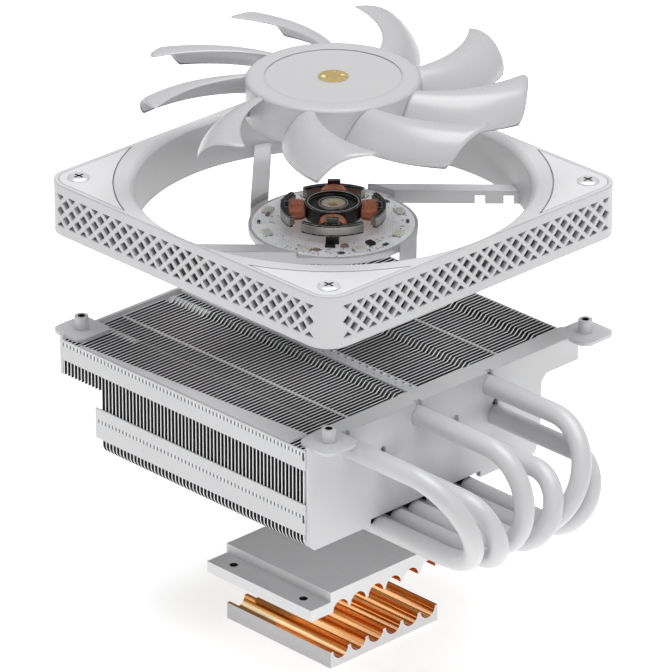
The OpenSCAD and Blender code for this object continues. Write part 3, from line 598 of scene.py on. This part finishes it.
def copper_grooves(o, node):
    """Copper on the faces of the half-round grooves, the outside metal elsewhere."""
    lo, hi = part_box(node)
    face_z = hi.z if node == "base_plate" else lo.z
    for p in o.data.polygons:
        n = p.normal
        side = abs(n.x) < 0.2
        slanted = 0.02 < abs(n.z) < 0.9999 or (abs(n.y) > 0.5 and abs(p.center.y) < hi.y - 0.0015)
        near = abs(p.center.z - face_z) < 0.0034
        inner = abs(p.center.y) < 0.0215
        land = node == "base_plate" and n.z > 0.99 and p.center.z > hi.z - 0.0003
        groove = side and slanted and near and inner and n.y * n.y < 0.9999
        p.material_index = 1 if groove or land else 0
        if n.x > 0.9:
            p.material_index = 2


def dark_holes(o):
    """Painted shade in the four threaded holes of the cap."""
    for p in o.data.polygons:
        if abs(p.center.y) > 0.0235 and abs(abs(p.center.x) - 0.01485) < 0.00145 and abs(p.normal.z) < 0.3:
            p.material_index = 3


def screw_crosses(o):
    """Painted shade in the driver recess of each screw head."""
    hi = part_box("fan_screws")[1]
    for p in o.data.polygons:
        if p.center.z > hi.z - 0.00079 and (abs(p.normal.z) < 0.1 or p.center.z < hi.z - 0.0003):
            dx = abs(abs(p.center.x - FAN.x) - SCREW_REACH)
            dy = abs(abs(p.center.y - FAN.y) - SCREW_REACH)
            if max(dx, dy) < 0.0019 and abs(p.normal.z) < 0.95 or (max(dx, dy) < 0.0018 and p.normal.z > 0.95 and
                    p.center.z < hi.z - 0.0006):
                p.material_index = 1


def post_bores(o):
    """Painted shade on the inside of the fan posts."""
    for p in o.data.polygons:
        c = p.center - FAN
        dx = abs(c.x) - SCREW_REACH
        dy = abs(c.y) - SCREW_REACH
        if abs(p.normal.z) < 0.3 and dx * p.normal.x * math.copysign(1, c.x) + dy * p.normal.y * math.copysign(
                1, c.y) < 0:
            p.material_index = 1


dress_cad_nodes()


# ---------------------------------------------------------------- finer pieces

def new_piece(name, bm, body, finish, smooth=True):
    """Turn a bmesh into a piece that rides on a body."""
    bmesh.ops.recalc_face_normals(bm, faces=bm.faces)
    me = bpy.data.meshes.new(name)
    bm.to_mesh(me)
    bm.free()
    for f in me.polygons:
        f.use_smooth = smooth
    me.materials.append(finish)
    o = bpy.data.objects.new(name, me)
    bpy.context.collection.objects.link(o)
    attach(o, body)
    return o


def add_tube(bm, path, radius, sides=8, closed=True):
    """Sweep a round section along a path of points."""
    rings = []
    n = len(path)
    for i, p in enumerate(path):
        nxt = path[(i + 1) % n] if closed or i < n - 1 else p
        prv = path[i - 1] if closed or i > 0 else p
        along = (nxt - prv).normalized()
        up = Vector((0, 0, 1)) if abs(along.z) < 0.9 else Vector((1, 0, 0))
        a = along.cross(up).normalized()
        b = along.cross(a)
        rings.append([bm.verts.new(p + radius * (a * math.cos(t) + b * math.sin(t)))
                      for t in (2 * math.pi * k / sides for k in range(sides))])
    pairs = list(zip(rings, rings[1:])) + ([(rings[-1], rings[0])] if closed else [])
    for r0, r1 in pairs:
        shift = 0
        if closed and r0 is rings[-1]:
            shift = min(range(sides), key=lambda k: (r0[0].co - r1[k].co).length)
        for k in range(sides):
            bm.faces.new((r0[k], r0[(k + 1) % sides], r1[(k + 1 + shift) % sides], r1[(k + shift) % sides]))
    if not closed:
        bm.faces.new(rings[0])
        bm.faces.new(rings[-1])


def add_block(bm, centre, size, turn=0.0, soften=0.0):
    """A box turned about Z, its edges softened."""
    out = bmesh.ops.create_cube(bm, size=1.0)["verts"]
    m = Matrix.Translation(centre) @ Matrix.Rotation(turn, 4, "Z") @ Matrix.Diagonal((*size, 1))
    bmesh.ops.transform(bm, matrix=m, verts=out)
    if soften:
        edges = list(dict.fromkeys(e for v in out for e in v.link_edges))
        bmesh.ops.bevel(bm, geom=edges, offset=soften, segments=2, affect="EDGES")


def lathe(bm, centre, profile, turns=64):
    """Turn a closed profile of (radius, height) about the vertical axis."""
    rings = []
    for k in range(turns):
        t = 2 * math.pi * k / turns
        rings.append([bm.verts.new(centre + Vector((r * math.cos(t), r * math.sin(t), z))) for r, z in profile])
    n = len(profile)
    for k in range(turns):
        r0, r1 = rings[k], rings[(k + 1) % turns]
        for i in range(n):
            bm.faces.new((r0[i], r0[(i + 1) % n], r1[(i + 1) % n], r1[i]))


def blade_section(s, u):
    """Angle in degrees, drop and thickness of the blade at s along its length and u across it."""
    angle = 22 * s + 3 * s * s - u * (21.5 - 3.5 * s)
    drop = 0.0009 + 0.0088 * u ** (2.2 + 1.1 * s)
    body = 0.0013 * (0.42 + 0.58 * math.sin(math.pi * min(1, u * 1.15 + 0.05)))
    ends = min(1.0, math.sqrt(max(0.0, min(u, 1 - u)) / 0.035 + 0.02))
    return angle, drop, body * ends


def make_blades():
    """Nine thin swept blades with rounded edges."""
    bm = bmesh.new()
    steps, across = 36, 26
    root_r = HUB_R - 0.00002
    for blade in range(BLADES):
        turn = 24.3 + blade * 360 / BLADES
        grid = []
        for side in (1, -1):
            rows = []
            for i in range(steps + 1):
                s = i / steps
                row = []
                for j in range(across + 1):
                    u = 0.5 - 0.5 * math.cos(math.pi * j / across)
                    angle, drop, thick = blade_section(s, u)
                    thin = min(1.0, math.sqrt((1 - s) / 0.02 + 0.05))
                    r = root_r + (TIP_R - root_r) * s * (1 - 0.045 * abs(2 * u - 1) ** 7)
                    a = math.radians(turn + angle)
                    row.append(bm.verts.new((FAN.x + r * math.cos(a), FAN.y + r * math.sin(a),
                                             HUB_TOP - drop + side * thick * thin / 2)))
                rows.append(row)
            grid.append(rows)
        for rows in grid:
            for i in range(steps):
                for j in range(across):
                    bm.faces.new((rows[i][j], rows[i + 1][j], rows[i + 1][j + 1], rows[i][j + 1]))
        up, low = grid
        rim = [(i, 0) for i in range(steps)] + [(steps, j) for j in range(across)]
        rim += [(i, across) for i in range(steps, 0, -1)] + [(0, j) for j in range(across, 0, -1)]
        for (i0, j0), (i1, j1) in zip(rim, rim[1:] + rim[:1]):
            bm.faces.new((up[i0][j0], up[i1][j1], low[i1][j1], low[i0][j0]))
    o = new_piece("swept_blades", bm, "rotor", ROTOR_WHITE)
    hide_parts("rotor_blades")
    return o


def make_windings():
    """Copper wire wound in turns on the four stator arms."""
    lo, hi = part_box("coils")
    mid_z = (lo.z + hi.z) / 2
    reach = (hi.x - lo.x) / 2
    bm = bmesh.new()
    inner, outer = 0.0084, 0.01295
    turns = 11
    wire = (outer - inner) / turns / 2
    for arm in range(4):
        a = math.radians(45 + 90 * arm)
        along = Vector((math.cos(a), math.sin(a), 0))
        side = Vector((-math.sin(a), math.cos(a), 0))
        for layer, (half_w, half_h) in enumerate(((0.0039, 0.00262), (0.0035, 0.0023))):
            for k in range(turns - layer):
                r = inner + wire * (2 * k + 1 + layer)
                bulge = 1.0 - 0.10 * abs(2 * k / (turns - 1) - 1) ** 2
                path = []
                for q in range(26):
                    t = 2 * math.pi * q / 26
                    c, d = math.cos(t), math.sin(t)
                    x = math.copysign(abs(c) ** 0.8, c) * half_w * bulge
                    z = math.copysign(abs(d) ** 0.8, d) * half_h * bulge
                    wob = wire * 0.35 * noise.noise(Vector((k * 1.7, t, arm * 3.1)))
                    path.append(Vector((FAN.x, FAN.y, mid_z)) + along * (r + wob) + side * x + Vector((0, 0, z)))
                add_tube(bm, path, wire * 1.05, sides=6)
    o = new_piece("wire_windings", bm, "fan", WIRE)
    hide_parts("coils")
    return o


def make_board_detail():
    """Lamp windows, chip leads, solder joints and small pads on the motor board."""
    top = BOARD_TOP
    windows, tin, pads = bmesh.new(), bmesh.new(), bmesh.new()
    lamp_r = BOARD_R - 0.0031
    for k in range(8):
        a = math.radians(22.5 + 45 * k)
        at = Vector((FAN.x + lamp_r * math.cos(a), FAN.y + lamp_r * math.sin(a), top + 0.00091))
        add_block(windows, at, (0.0019, 0.0023, 0.00006), a, 0.00002)
        for s in (-1, 1):
            spot = at + Vector((-math.sin(a), math.cos(a), 0)) * s * 0.00185 - Vector((0, 0, 0.00078))
            add_block(tin, spot, (0.0024, 0.0006, 0.00026), a, 0.0001)
    for node, count in (("drive_chip", 3), ("hall_sensor", 3)):
        lo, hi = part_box(node)
        c = (lo + hi) / 2
        a = math.atan2(c.y - FAN.y, c.x - FAN.x)
        out = Vector((math.cos(a), math.sin(a), 0))
        side = Vector((-out.y, out.x, 0))
        half = 0.0013 if node == "drive_chip" else 0.0007
        for s in (-1, 1):
            for k in range(count):
                spot = Vector((c.x, c.y, top + 0.00012)) + out * s * (half + 0.0002)
                spot += side * (k - (count - 1) / 2) * 0.00066
                add_block(tin, spot, (0.0005, 0.0003, 0.0002), a, 0.00006)
    for node in ("capacitors", "resistors"):
        for spot in part_centres(node):
            a = math.atan2(spot.y - FAN.y, spot.x - FAN.x)
            side = Vector((-math.sin(a), math.cos(a), 0))
            for s in (-1, 1):
                add_block(tin, Vector((spot.x, spot.y, top + 0.00016)) + side * s * 0.00098,
                          (0.0010, 0.0005, 0.0003), a, 0.0001)
    rng = random.Random(5)
    for k in range(70):
        a = rng.uniform(-1.5, 0.35) if k < 46 else rng.uniform(0, 6.28)
        r = rng.uniform(0.0172, 0.0226)
        spot = Vector((FAN.x + r * math.cos(a), FAN.y + r * math.sin(a), top + 0.00004))
        long = rng.choice((0.0005, 0.0007, 0.0010))
        add_block(pads if k % 3 else tin, spot, (long, 0.00035, 0.0001), a + rng.choice((0, math.pi / 2)), 0.00003)
    new_piece("lamp_windows", windows, "fan", LAMP_CREAM, smooth=False)
    new_piece("solder_joints", tin, "fan", SOLDER)
    new_piece("bare_pads", pads, "fan", CHIP_TAN, smooth=False)


def part_centres(node):
    """Centres of the separate small boxes in a CAD node."""
    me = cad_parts[node].data
    bm = bmesh.new()
    bm.from_mesh(me)
    bmesh.ops.remove_doubles(bm, verts=bm.verts, dist=1e-6)
    seen, out = set(), []
    for v in bm.verts:
        if v in seen:
            continue
        group, todo = [], [v]
        seen.add(v)
        while todo:
            w = todo.pop()
            group.append(w.co.copy())
            for e in w.link_edges:
                o = e.other_vert(w)
                if o not in seen:
                    seen.add(o)
                    todo.append(o)
        out.append(sum(group, Vector()) / len(group))
    bm.free()
    return out


def make_bearing_collar():
    """Black collar pressed over the bearing tube, and thin pale rings on it and on the bobbin cup that paint edge
    highlights.
    """
    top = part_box("bearing_sleeve")[1].z
    at = Vector((FAN.x, FAN.y, top))
    bm = bmesh.new()
    lathe(bm, at, [(0.00357, 0.00002), (0.00357, 0.00016), (0.0041, 0.00016), (0.00424, 0.0), (0.00424, -0.0012),
                   (0.00421, -0.0012), (0.00421, 0.00002)])
    new_piece("bearing_collar", bm, "fan", BOBBIN_BLACK)
    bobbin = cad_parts["stator_bobbin"].data
    near = [v.co for v in bobbin.vertices if 0.0070 < math.hypot(v.co.x - FAN.x, v.co.y - FAN.y) < 0.0082]
    cup_r = max(math.hypot(c.x - FAN.x, c.y - FAN.y) for c in near)
    level = max(c.z for c in near if math.hypot(c.x - FAN.x, c.y - FAN.y) > cup_r - 0.0009)
    rim = bmesh.new()
    for r, z in ((cup_r - 0.0002, level), (0.00415, top + 0.00014)):
        lathe(rim, Vector((FAN.x, FAN.y, z)), [(r, -0.0001), (r, 0.00006), (r + 0.00012, 0.00008), (r + 0.00022, 0.0),
                                               (r + 0.00022, -0.0001)])
    new_piece("painted_rim_highlights", rim, "fan", RIM_HIGHLIGHT)


def make_insert_star():
    """Faceted crown of the metal insert in the hub."""
    lo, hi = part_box("hub_insert")
    at = Vector((FAN.x, FAN.y, hi.z))
    radius = (hi.x - lo.x) / 2
    bm = bmesh.new()
    rings = []
    for r, low, high in ((radius * 0.98, -0.0003, -0.0001), (radius * 0.62, -0.0003, -0.00004),
                         (radius * 0.28, -0.0002, -0.00006)):
        rings.append([bm.verts.new(at + Vector((r * math.cos(t), r * math.sin(t), high if k % 2 else low)))
                      for k, t in ((k, math.pi * k / 12) for k in range(24))])
    for r0, r1 in zip(rings, rings[1:]):
        for k in range(24):
            bm.faces.new((r0[k], r0[(k + 1) % 24], r1[(k + 1) % 24]))
            bm.faces.new((r0[k], r1[(k + 1) % 24], r1[k]))
    tip = bm.verts.new(at - Vector((0, 0, 0.00025)))
    foot = bm.verts.new(at - Vector((0, 0, 0.0009)))
    for k in range(24):
        bm.faces.new((rings[-1][k], rings[-1][(k + 1) % 24], tip))
        bm.faces.new((rings[0][(k + 1) % 24], rings[0][k], foot))
    new_piece("insert_crown", bm, "rotor", BRASS, smooth=False)


make_blades()
make_insert_star()
make_windings()
make_board_detail()
make_bearing_collar()


# ---------------------------------------------------------------- light, floor and camera

def make_floor():
    """A plain pale floor under the base plate."""
    bm = bmesh.new()
    bmesh.ops.create_grid(bm, x_segments=1, y_segments=1, size=6.0)
    me = bpy.data.meshes.new("floor")
    bm.to_mesh(me)
    bm.free()
    o = bpy.data.objects.new("floor", me)
    bpy.context.collection.objects.link(o)
    o.location.z = cad_box[0].z - 0.0001
    m, t, b = finish_named("floor_paper")
    skin = place(t, COAT, Colour=(0.93, 0.93, 0.93, 1), Shade=0.01, Grain_size=60.0, Roughness=0.75)
    t.links.new(skin.outputs["Colour"], b.inputs["Base Color"])
    t.links.new(skin.outputs["Roughness"], b.inputs["Roughness"])
    b.inputs["Emission Color"].default_value = (1.0, 1.0, 1.0, 1)
    b.inputs["Emission Strength"].default_value = 0.55
    me.materials.append(m)


def soft_light(name, at, size, power, aim):
    """An area light that looks at a point."""
    d = bpy.data.lights.new(name, "AREA")
    d.shape = "RECTANGLE"
    d.size, d.size_y = size
    d.energy = power
    o = bpy.data.objects.new(name, d)
    bpy.context.collection.objects.link(o)
    o.location = at
    o.rotation_euler = (Vector(aim) - Vector(at)).to_track_quat("-Z", "Y").to_euler()
    return o


def make_studio():
    """White surroundings, a large overhead softbox and two weak side lights."""
    w = bpy.data.worlds.new("studio")
    bpy.context.scene.world = w
    w.use_nodes = True
    w.node_tree.nodes["Background"].inputs[0].default_value = (1.0, 1.0, 1.0, 1)
    w.node_tree.nodes["Background"].inputs[1].default_value = 0.24
    aim = (FAN.x, FAN.y, 0.09)
    soft_light("overhead", (0.05, 0.05, 1.6), (1.3, 1.3), 25.0, aim)
    soft_light("left", (-1.0, -1.3, 0.7), (0.5, 0.9), 2.0, aim)
    soft_light("right", (1.5, -0.3, 0.6), (0.5, 0.9), 2.5, aim)
    bpy.context.scene.view_settings.view_transform = "Standard"


def make_camera():
    """A long lens at the front right, a little above the object."""
    azimuth, elevation, distance = math.radians(45.94), math.radians(25.29), 1.858
    aim = FAN_AXIS + Vector((0.00056, 0.00058, 0.0846))
    back = Vector((math.sin(azimuth) * math.cos(elevation), -math.cos(azimuth) * math.cos(elevation),
                   math.sin(elevation)))
    d = bpy.data.cameras.new("camera")
    d.sensor_width = 36.0
    d.lens = 337.4
    d.clip_end = 20.0
    o = bpy.data.objects.new("camera", d)
    bpy.context.collection.objects.link(o)
    o.location = aim + back * distance
    o.rotation_euler = (-back).to_track_quat("-Z", "Y").to_euler()
    bpy.context.scene.camera = o


make_floor()
make_studio()
make_camera()
